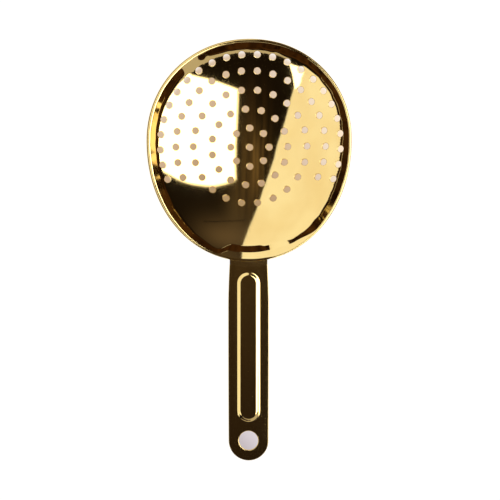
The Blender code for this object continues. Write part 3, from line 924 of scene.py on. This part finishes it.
# ---- brazed filler ------------------------------------------------------------------
FILLER_CORNER = 0.05
FILLER_SIDE_GAP = 0.03
FILLER_END_GAP = 0.03
FILLER_LIFT = 0.03  # the underside clears the tongue's step by this
FILLER_BEVEL = 0.1
FILLER_TOP_LIMIT = -0.06  # step points above this are left out


def filler_section():
    """Closed section as (inward, z): front face, then down the bowl side and back
    along the tongue's step. Also its normals."""
    inner, outer = -BRAZE_START, -(BRAZE_END - FILLER_END_GAP)
    low = -SHEET + 0.05
    under = []
    for inward, z, slope in tongue_step():
        top_in = inward + sin(slope) * STRAP_SHEET / 2
        top_z = z + cos(slope) * STRAP_SHEET / 2 + FILLER_LIFT
        if low < top_z < FILLER_TOP_LIMIT and inner - FILLER_BEVEL > top_in > outer:
            under.append((top_in + FILLER_LIFT, top_z))
    under.sort(key=lambda point: -point[0])
    section = [
        (outer + FILLER_CORNER, 0.0), (inner - FILLER_CORNER, 0.0),
        (inner, -FILLER_CORNER), (inner, low + FILLER_BEVEL),
        (inner - FILLER_BEVEL, low), *under, (outer + 0.01, -FILLER_CORNER),
    ]
    centre_in, centre_z = np.mean([p[0] for p in section]), np.mean([p[1] for p in section])
    normals = []
    for inward, z in section:
        if z == 0.0:
            normals.append((0, 0, 1.0))
        elif inward == inner:
            normals.append((0, 1.0, 0))
        else:
            normals.append((0, inward - centre_in, z - centre_z))
    return section, normals


def build_filler(material):
    """Filler between rim edge and strap, dressed flush."""
    shell = Shell()
    section, normals = filler_section()
    ids = []
    for x, y in neck_row(FILLER_SIDE_GAP, 0.0):
        ids.append(shell.add([(x, y + inward, z) for inward, z in section], normals))
    shell.skin(ids, closed=True)
    shell.faces.append(tuple(ids[0]))
    shell.faces.append(tuple(ids[-1][::-1]))
    register(shell.build("neck_filler", material), "braze_fillet")


# ---- materials ---------------------------------------------------------------------
class Nodes:
    """Short ways to make shader nodes. A value may be a number or a node's output."""

    def __init__(self, tree):
        self.tree = tree
        tree.nodes.clear()

    def new(self, kind, values=None, **settings):
        node = self.tree.nodes.new(kind)
        for key, value in settings.items():
            setattr(node, key, value)
        for key, value in (values or {}).items():
            if hasattr(value, "is_output"):
                self.tree.links.new(value, node.inputs[key])
            else:
                node.inputs[key].default_value = value
        return node

    def math(self, op, *values, clamp=False):
        return self.new("ShaderNodeMath", dict(enumerate(values)), operation=op,
                        use_clamp=clamp).outputs[0]

    def square_sum(self, first, second):
        return self.math("ADD", self.math("MULTIPLY", first, first),
                         self.math("MULTIPLY", second, second))

    def mix(self, share, first, second):
        values = {0: share, 6: first, 7: second}
        return self.new("ShaderNodeMix", values, data_type="RGBA").outputs[2]

    def map_range(self, value, start, end, low=0.0, high=1.0, **settings):
        values = {"Value": value, "From Min": start, "From Max": end, "To Min": low, "To Max": high}
        return self.new("ShaderNodeMapRange", values, **settings).outputs[0]

    def shift(self, vector, offset):
        return self.new("ShaderNodeVectorMath", {0: vector, 1: offset}, operation="ADD").outputs[0]

    def stretch(self, vector, scale, rotation=(0.0, 0.0, 0.0)):
        values = {"Vector": vector, "Rotation": rotation, "Scale": scale}
        return self.new("ShaderNodeMapping", values).outputs[0]

    def noise(self, vector, scale, detail, roughness=0.5):
        values = {"Vector": vector, "Scale": scale, "Detail": detail, "Roughness": roughness}
        return self.new("ShaderNodeTexNoise", values).outputs["Fac"]

    def object_place(self):
        return self.new("ShaderNodeTexCoord").outputs["Object"]

    def bowl_frame(self, place):
        """The place measured from the bowl's origin, with its x and y."""
        local = self.shift(place, tuple(-v for v in ORIGIN))
        split = self.new("ShaderNodeSeparateXYZ", {0: local})
        return local, split.outputs[0], split.outputs[1]

    def emission(self, colour, strength):
        values = {"Color": colour, "Strength": strength}
        return self.new("ShaderNodeEmission", values).outputs[0]

    def add_shader(self, first, second):
        return self.new("ShaderNodeAddShader", {0: first, 1: second}).outputs[0]

    def finish(self, shader, kind="ShaderNodeOutputMaterial"):
        self.new(kind, {0: shader})


def new_material(name):
    material = bpy.data.materials.new(name)
    material.use_nodes = True
    return material, Nodes(material.node_tree)


def polished_gold(name, colour, deep, rough, wave, seed):
    """Plated, polished sheet metal: slow waviness, a fine polish grain along the
    handle, hairline scratches, and small changes of tone and gloss. wave is the
    waviness in mm, seed moves the patterns."""
    material, nodes = new_material(name)
    place = nodes.shift(nodes.object_place(), (seed * 0.37, seed * 0.21, seed * 0.11))

    def noise(scale, detail, stretch=(1, 1, 1), roughness=0.5):
        return nodes.noise(nodes.stretch(place, stretch), scale, detail, roughness)

    slow = noise(scale=22.0, detail=1.0)
    peel = noise(scale=420.0, detail=2.0)
    grain = noise(scale=1.0, detail=3.0, stretch=(5200.0, 130.0, 5200.0), roughness=0.6)
    cloud = noise(scale=75.0, detail=3.0)
    fine = noise(scale=1.0, detail=4.0, stretch=(14000.0, 500.0, 14000.0), roughness=0.7)

    # sparse hairlines: only the peaks of a stretched, turned noise, made steep
    turned = nodes.stretch(place, scale=(2600.0, 60.0, 900.0), rotation=(0.0, 0.0, 0.6))
    hair_noise = nodes.noise(turned, scale=1.0, detail=1.0)
    peaks = nodes.math("SUBTRACT", hair_noise, 0.70)
    peaks = nodes.math("MULTIPLY", peaks, 14.0, clamp=True)
    hair = nodes.math("SMOOTH_MIN", peaks, 1.0, 0.1)

    tone = nodes.map_range(cloud, 0.35, 0.65)
    base = nodes.mix(tone, (*colour, 1), (*deep, 1))

    # roughness: a base, then what each pattern adds
    gloss = rough * 0.55
    for pattern, amount in ((grain, rough * 0.7), (cloud, rough * 0.35), (hair, 0.035)):
        gloss = nodes.math("MULTIPLY_ADD", pattern, amount, gloss)

    # relief of each pattern, in mm
    height = nodes.math("MULTIPLY", slow, wave)
    for pattern, relief in ((peel, 0.00035), (grain, 0.00006), (fine, 0.00002), (hair, -0.0001)):
        height = nodes.math("MULTIPLY_ADD", pattern, relief, height)
    bump = nodes.new("ShaderNodeBump", {"Height": height, "Distance": MM, "Strength": 1.0})

    shader = nodes.new("ShaderNodeBsdfPrincipled", {
        "Base Color": base, "Metallic": 1.0, "Roughness": gloss, "Normal": bump.outputs[0]})
    nodes.finish(shader.outputs[0])
    material.diffuse_color = (*colour, 1)
    return material


def glow(name, colour, strength):
    material, nodes = new_material(name)
    nodes.finish(nodes.emission((*colour, 1), strength))
    return material


def mottled_glow(name, colour, deep, strength, scale, least, span):
    """A light whose tone and brightness change from place to place. least is the
    dimmest share of the strength, span the part of the noise used."""
    material, nodes = new_material(name)
    noise = nodes.noise(nodes.object_place(), scale, detail=3.0)
    level = nodes.map_range(noise, *span)
    tone = nodes.mix(level, (*deep, 1), (*colour, 1))
    power = nodes.math("MULTIPLY_ADD", level, (1 - least) * strength, least * strength)
    nodes.finish(nodes.emission(tone, power))
    return material


CEILING_BASE = ((0.82, 0.55, 0.40, 1), 0.0095)
# soft glows on the ceiling: colour, strength, centre (mm), spread (mm), streaked
CEILING_GLOWS = (
    ((1.0, 0.66, 0.32), 0.085, (-70, 240), (120, 270), True),
    ((1.0, 0.56, 0.28), 0.009, (-60, -220), (130, 260), True),
    ((1.0, 0.74, 0.55), 0.095, (150, 830), (330, 190), False),
    ((1.0, 0.74, 0.48), 0.040, (60, 520), (110, 170), False),
)


def dim_ceiling():
    """The unlit part of the studio: brown, with a few lighter places, two of them
    with soft streaks along Y."""
    material, nodes = new_material("dim_ceiling")
    local, x, y = nodes.bowl_frame(nodes.object_place())
    streak = nodes.noise(nodes.stretch(local, (34.0, 1.2, 1.0)), scale=1.0, detail=3.0)
    streak = nodes.map_range(streak, 0.35, 0.65, low=0.3, high=1.65)

    def scaled(value, centre, spread):
        offset = nodes.math("SUBTRACT", value, centre * MM)
        return nodes.math("DIVIDE", offset, spread * MM)

    shader = nodes.emission(*CEILING_BASE)
    for colour, strength, centre, spread, streaked in CEILING_GLOWS:
        across, along = (scaled(v, c, s) for v, c, s in zip((x, y), centre, spread))
        falloff = nodes.math("MULTIPLY", nodes.square_sum(across, along), -1.0)
        amount = nodes.math("EXPONENT", falloff)
        if streaked:
            amount = nodes.math("MULTIPLY", amount, streak)
        amount = nodes.math("MULTIPLY", amount, strength)
        shader = nodes.add_shader(shader, nodes.emission((*colour, 1), amount))
    nodes.finish(shader)
    return material


# Painted shade on the floor under the bowl, in place of the shadow it casts
SHADE_RADIUS = 36.0  # the bowl's shade, in mm
SHADE_LEVEL = 0.568  # its level under the origin
SHADE_LEVEL_MAX = 0.96
# colour of the painted shade at each level; its warm tones are painted light bounced off the gold
SHADE_STOPS = (
    (0.42, (0.423, 0.275, 0.119)), (0.50, (0.497, 0.328, 0.184)), (0.66, (0.658, 0.474, 0.305)),
    (0.76, (0.761, 0.617, 0.497)), (0.91, (0.913, 0.766, 0.591)), (1.0, (1.0, 0.79, 0.60)),
)
# painted shade along under the handle: its shift, reach, soft edge and colours
HANDLE_SHADE_SHIFT = (0.5, -2.3)  # towards -X and -Y from the hanging hole, in mm
HANDLE_SHADE_TOP = 44
HANDLE_SHADE_EDGE = (4.2, 6.2)  # full inside the first distance, gone at the second
HANDLE_SHADE_COLOURS = ((0.56, 0.50, 0.53, 1), (0.70, 0.64, 0.67, 1))
FLOOR_GLOW = 0.97
FLOOR_DARKEN = 0.88  # share of black in the part that takes light


def bowl_shade(nodes, x, y):
    """Colour and strength of the painted shade under the bowl, warmed by painted light bounced off
    the gold.
    """
    across = nodes.math("DIVIDE", x, SHADE_RADIUS * MM)
    along = nodes.math("DIVIDE", y, SHADE_RADIUS * MM)
    radius = nodes.math("SQRT", nodes.square_sum(across, along))
    across_square = nodes.math("MULTIPLY", across, across)
    along_square = nodes.math("MULTIPLY", along, along)
    # the painted shade gets lighter towards +X, +Y and the sides
    level = SHADE_LEVEL
    terms = ((across, 0.158), (along, 0.183), (across_square, 0.255), (along_square, -0.023))
    for term, gain in terms:
        level = nodes.math("MULTIPLY_ADD", term, gain, level)
    level = nodes.math("MINIMUM", level, SHADE_LEVEL_MAX)
    ramp = nodes.new("ShaderNodeValToRGB", {0: level})
    elements = ramp.color_ramp.elements
    while len(elements) < len(SHADE_STOPS):
        elements.new(0.5)
    for element, (position, colour) in zip(elements, SHADE_STOPS):
        element.position = position
        element.color = (*colour, 1)
    inside = nodes.map_range(radius, 1.0, 1.08, low=1.0, high=0.0,
                             interpolation_type="SMOOTHSTEP")
    return ramp.outputs[0], inside


def handle_shade(nodes, x, y):
    """Colour and strength of the painted shade along under the handle, seen through the
    hanging hole."""
    shift_x, shift_y = HANDLE_SHADE_SHIFT
    hole_y = nodes.math("SUBTRACT", y, (HANG_HOLE_Y + shift_y) * MM)
    hole_x = nodes.math("ADD", x, shift_x * MM)
    below = nodes.math("MINIMUM", hole_y, 0.0)
    above = nodes.math("MAXIMUM", nodes.math("ADD", y, HANDLE_SHADE_TOP * MM), 0.0)
    past = nodes.math("ADD", below, above)
    distance = nodes.math("SQRT", nodes.square_sum(hole_x, past))
    start, end = HANDLE_SHADE_EDGE
    inside = nodes.map_range(distance, start * MM, end * MM, low=1.0, high=0.0,
                             interpolation_type="SMOOTHSTEP")
    # painted shading: the shade is darker towards -X and -Y, lighter towards +X and +Y
    diagonal = nodes.map_range(nodes.math("ADD", x, hole_y), -4 * MM, 4 * MM)
    return nodes.mix(diagonal, *HANDLE_SHADE_COLOURS), inside


def floor_material():
    """White studio sheet, lit from all round, with painted shade under the bowl
    and under the end of the handle in place of the warm shadow the strainer casts."""
    material, nodes = new_material("floor_sheet")
    place = nodes.new("ShaderNodeNewGeometry").outputs["Position"]
    _, x, y = nodes.bowl_frame(place)
    colour = (1.0, 1.0, 1.0, 1.0)
    # painted shade: its colours replace white in both the floor's glow and its matte colour
    for shade in (bowl_shade, handle_shade):
        shade_colour, inside = shade(nodes, x, y)
        colour = nodes.mix(inside, colour, shade_colour)
    dark = nodes.mix(FLOOR_DARKEN, colour, (0, 0, 0, 1))
    matte = nodes.new("ShaderNodeBsdfDiffuse", {"Color": dark, "Roughness": 0.5})
    nodes.finish(nodes.add_shader(nodes.emission(colour, FLOOR_GLOW), matte.outputs[0]))
    return material


# ---- studio ------------------------------------------------------------------------
# The cards' corners are in the bowl's frame, in mm; flat cards give x and y only.
CARD_HEIGHT = 1000.0
CEILING_HALF = 1350
FLOOR_HALF = 4.0  # metres
FLOOR_DROP = 0.0003  # metres below the CAD

SOFTBOX = (
    (45, -330), (49, -218), (57, -98), (67, 21), (82, 130), (84, 238), (76, 322), (104, 338),
    (140, 346), (196, 359), (263, 374), (362, 381), (523, 385), (666, 380), (756, 368),
    (1060, 350), (1060, -90), (920, -230), (793, -345), (653, -458), (526, -520), (468, -473),
    (381, -449), (281, -423), (188, -389), (119, -362),
)
# how far the dimmer edge reaches past each softbox corner
SOFTBOX_EDGE = (
    [(-16, -8)] + [(-16, 0)] * 5 + [(-16, 8)] + [(-6, 14)] * 8 + [(10, 12), (10, -8)]
    + [(4, -8)] * 4 + [(-4, -12)] * 5
)
WALL_LEFT = (
    (60, 2000), (30, 1500), (0, 1150), (-10, 900), (-60, 700), (-160, 410), (-260, 200),
    (-340, -50), (-400, -250), (-440, -350), (-560, -560), (-700, -760), (-1150, -760),
    (-1150, 2000),
)
LAMP_SMALL = (
    (-414, -615), (-449, -580), (-516, -568), (-570, -510), (-535, -454), (-518, -402),
    (-493, -358), (-447, -333), (-441, -400), (-437, -470), (-424, -545),
)
SEAM_LINE = ((-30, 640), (160, 655), (400, 690), (400, 697), (160, 662), (-30, 647))
STRIP_INNER = (
    (960, -190), (793, -345), (653, -458), (526, -526), (410, -595), (213, -692), (-28, -722),
    (-254, -713), (-419, -642),
)
STRIP_INNER_SCALE = 0.99
STRIP_OUTER = (
    (1072, -250), (912, -402), (790, -560), (1180, -1090), (8000, -8600), (6100, -9800),
    (900, -1900), (700, -1700), (430, -1400), (250, -1500), (60, -1300), (-60, -1420),
    (-240, -1180), (-380, -1200), (-520, -820),
)
LOW_RIGHT = (
    (1500, -560, 345), (1500, -380, 290), (1500, -100, 225), (1500, 250, 190), (1500, 600, 220),
    (1500, 900, 250), (1500, 1250, 420), (1500, 850, 430), (1500, 450, 410), (1500, 0, 400),
    (1500, -300, 375),
)
GLINTS_RIGHT = ((1250, 700, 470), (800, 1150, 500), (800, 1150, 560), (1250, 700, 530))
GLINTS_LEFT = ((-1250, 750, 480), (-950, 1100, 500), (-950, 1100, 570), (-1250, 750, 550))
LOW_LEFT = ((-1500, -900, 720), (-1500, 900, 720), (-1500, 900, 765), (-1500, -900, 765))


def square(half):
    return [(-half, -half), (half, -half), (half, half), (-half, half)]


def card(name, corners, material):
    """One-face light card that the camera doesn't see."""
    mesh = bpy.data.meshes.new(name)
    mesh.from_pydata(corners, [], [tuple(range(len(corners)))])
    mesh.transform(Matrix.Translation(ORIGIN) @ Matrix.Scale(MM, 4))
    ob = bpy.data.objects.new(name, mesh)
    bpy.context.scene.collection.objects.link(ob)
    mesh.materials.append(material)
    ob.visible_camera = False
    ob.visible_shadow = False


def flat_card(name, corners, material, lift=0):
    """Level card above the strainer, lifted off the common height."""
    card(name, [(x, y, CARD_HEIGHT + lift) for x, y in corners], material)


def build_overhead_cards():
    white = (1.0, 1.0, 1.0)
    flat_card("softbox_right", SOFTBOX, glow("softbox", white, strength=3.6))
    edge = [(x + out_x, y + out_y) for (x, y), (out_x, out_y) in zip(SOFTBOX, SOFTBOX_EDGE)]
    flat_card("softbox_right_edge", edge,
              glow("softbox_edge", (1.0, 0.97, 0.90), strength=1.25), lift=1)
    wall = mottled_glow("lit_wall", colour=white, deep=(1.0, 0.955, 0.90), strength=1.0,
                        scale=2.2, least=0.94, span=(0.38, 0.6))
    flat_card("wall_left", WALL_LEFT, wall, lift=2)
    flat_card("lamp_small", LAMP_SMALL, glow("small_lamp", white, strength=3.2))
    flat_card("seam_line", SEAM_LINE,
              glow("black_flag", (1.0, 0.8, 0.6), strength=0.004), lift=-1)
    flat_card("ceiling_dim", square(CEILING_HALF), dim_ceiling(), lift=6)
    # a pale strip round the handle side of the strainer
    inner = [(x * STRIP_INNER_SCALE, y * STRIP_INNER_SCALE) for x, y in STRIP_INNER]
    flat_card("far_wall_strip", inner + list(STRIP_OUTER[::-1]),
              glow("far_wall", (1.0, 0.94, 0.92), strength=0.50), lift=-2)


def build_low_cards():
    """Upright cards: amber ones at +X, glints towards +Y, a thin pale one at -X."""
    amber = mottled_glow("amber_low", colour=(1.0, 0.82, 0.44), deep=(0.95, 0.55, 0.20),
                         strength=1.4, scale=1.6, least=0.6, span=(0.42, 0.58))
    card("low_right", LOW_RIGHT, amber)
    glint = mottled_glow("amber_glints", colour=(1.0, 0.80, 0.34), deep=(0.3, 0.12, 0.03),
                         strength=0.9, scale=13.0, least=0.02, span=(0.53, 0.60))
    card("glints_right", GLINTS_RIGHT, glint)
    card("glints_left", GLINTS_LEFT, glint)
    card("low_left", LOW_LEFT, glow("thin_low", (1.0, 0.95, 0.85), strength=0.8))


def build_floor():
    mesh = bpy.data.meshes.new("floor")
    mesh.from_pydata([(x, y, 0) for x, y in square(FLOOR_HALF)], [], [(0, 1, 2, 3)])
    floor = bpy.data.objects.new("floor", mesh)
    floor.location = (0, 0, CAD_LO.z - FLOOR_DROP)
    bpy.context.scene.collection.objects.link(floor)
    mesh.materials.append(floor_material())


def build_world():
    """Pale to the camera, a dim patchy amber to everything else."""
    world = bpy.data.worlds.new("studio")
    bpy.context.scene.world = world
    world.use_nodes = True
    nodes = Nodes(world.node_tree)

    def background(colour, strength):
        values = {"Color": (*colour, 1), "Strength": strength}
        return nodes.new("ShaderNodeBackground", values).outputs[0]

    pale = background((0.94, 0.93, 0.92), 1.0)
    direction = nodes.new("ShaderNodeTexCoord").outputs["Generated"]
    patchy = nodes.noise(direction, scale=5.0, detail=3.0)
    level = nodes.map_range(patchy, 0.35, 0.65, low=0.010, high=0.060)
    dim = background((1.0, 0.42, 0.14), level)
    seen = nodes.new("ShaderNodeLightPath").outputs["Is Camera Ray"]
    shader = nodes.new("ShaderNodeMixShader", {0: seen, 1: dim, 2: pale})
    nodes.finish(shader.outputs[0], "ShaderNodeOutputWorld")


# ---- camera ------------------------------------------------------------------------
CAMERA_EYE = Vector((15.7, -40.1, 350.0))
CAMERA_AIM = Vector((0.57, -40.1, 0.0))
CAMERA_SENSOR = 36.0
CAMERA_VIEW = 189.5  # width seen at the aim's distance


def build_camera():
    """Looks down on the front faces, with +Y up in the view."""
    data = bpy.data.cameras.new("camera")
    camera = bpy.data.objects.new("camera", data)
    bpy.context.scene.collection.objects.link(camera)
    eye = ORIGIN + CAMERA_EYE * MM
    aim = ORIGIN + CAMERA_AIM * MM
    camera.location = eye
    back = (eye - aim).normalized()
    side = Vector((0, 1, 0)).cross(back).normalized()
    up = back.cross(side)
    camera.rotation_mode = "QUATERNION"
    camera.rotation_quaternion = Matrix((side, up, back)).transposed().to_quaternion()
    data.sensor_width = CAMERA_SENSOR
    data.lens = CAMERA_SENSOR * (eye - aim).length / (CAMERA_VIEW * MM)
    data.clip_start = 0.01
    data.clip_end = 20.0
    bpy.context.scene.camera = camera


GOLD = (1.0, 0.765, 0.325)
GOLD_DEEP = (0.985, 0.735, 0.295)
build_bowl(polished_gold("gold_bowl", GOLD, GOLD_DEEP, rough=0.045, wave=0.012, seed=1))
build_strap(polished_gold("gold_strap", GOLD, GOLD_DEEP, rough=0.05, wave=0.010, seed=2))
build_filler(polished_gold("gold_braze", (1.0, 0.755, 0.315), (0.98, 0.72, 0.285),
                           rough=0.07, wave=0.010, seed=3))
build_overhead_cards()
build_low_cards()
build_floor()
build_world()
build_camera()
bpy.context.scene.view_settings.view_transform = "Standard"
bpy.context.scene.view_settings.look = "None"
